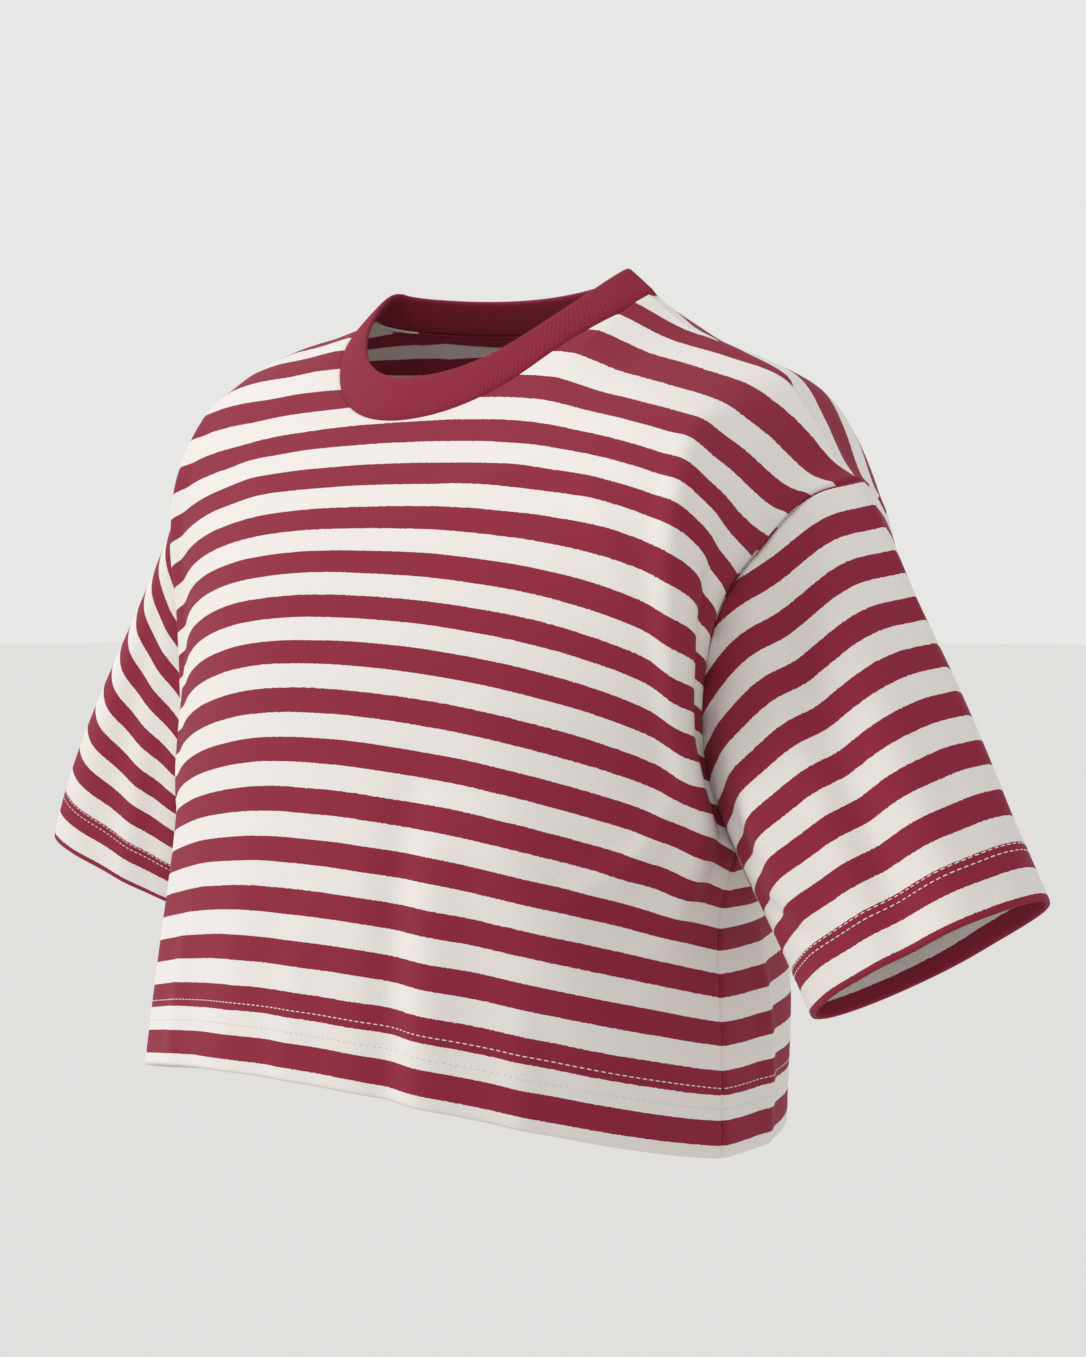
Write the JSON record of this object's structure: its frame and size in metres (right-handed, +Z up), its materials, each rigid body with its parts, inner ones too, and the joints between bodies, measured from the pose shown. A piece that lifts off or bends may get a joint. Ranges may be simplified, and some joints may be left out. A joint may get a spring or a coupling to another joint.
{
  "type": "crop top",
  "caption": "Cropped boxy T-shirt in burgundy and white striped jersey with dropped shoulders, short loose sleeves and a plain rib collar, filled out as worn.",
  "frame": {"origin": "midway between the two high neck points, where the shoulder seams meet the collar", "axes": "+Z up, -Y towards the front of the garment, +X towards the wearer's left"},
  "size_m": [0.681, 0.2776, 0.4211],
  "materials": {
    "front": "single jersey striped across in burgundy and off-white, matt with a soft nap",
    "back": "single jersey striped across in burgundy and off-white, matt with a soft nap",
    "sleeve_left": "single jersey striped across in burgundy and off-white, matt with a soft nap",
    "sleeve_right": "single jersey striped across in burgundy and off-white, matt with a soft nap",
    "collar": "plain burgundy 1x1 rib, matt",
    "neck_tape": "plain burgundy jersey tape, matt"
  },
  "bodies": {
    "root": {"front": "front", "back": "back", "sleeve_left": "sleeve_left", "sleeve_right": "sleeve_right", "collar": "collar", "neck_tape": "neck_tape"}
  },
  "joints": []
}
